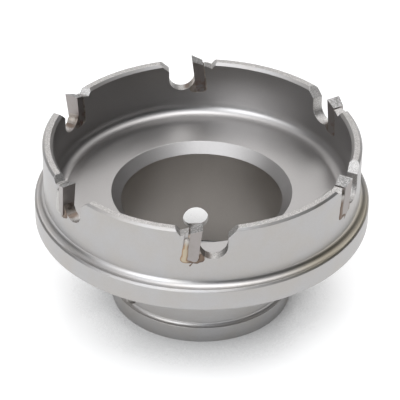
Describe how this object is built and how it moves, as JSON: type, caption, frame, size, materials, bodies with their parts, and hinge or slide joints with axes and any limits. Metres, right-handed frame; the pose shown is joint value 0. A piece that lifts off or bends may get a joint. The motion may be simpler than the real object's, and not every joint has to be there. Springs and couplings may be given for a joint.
{
  "type": "hole saw",
  "caption": "Carbide-tipped hole saw cup with a turned steel barrel, a depth-stop flange and an open hub that locks onto a quick-change arbor.",
  "frame": {"origin": "centre of the hub's end face, on the saw's axis", "axes": "+Z along the saw's axis towards the teeth; +Y through a locking hole and the first tooth's point"},
  "size_m": [0.062, 0.062, 0.0339],
  "materials": {
    "steel": "turned steel, fine satin blasted",
    "carbide": "ground tungsten carbide",
    "braze": "bronze braze, darkened by heat"
  },
  "bodies": {
    "root": {"saw_body": "steel", "carbide_tip_1": "carbide", "carbide_tip_2": "carbide", "carbide_tip_3": "carbide", "carbide_tip_4": "carbide", "carbide_tip_5": "carbide", "carbide_tip_6": "carbide", "braze_joint_1": "braze", "braze_joint_2": "braze", "braze_joint_3": "braze", "braze_joint_4": "braze", "braze_joint_5": "braze", "braze_joint_6": "braze"}
  },
  "joints": []
}
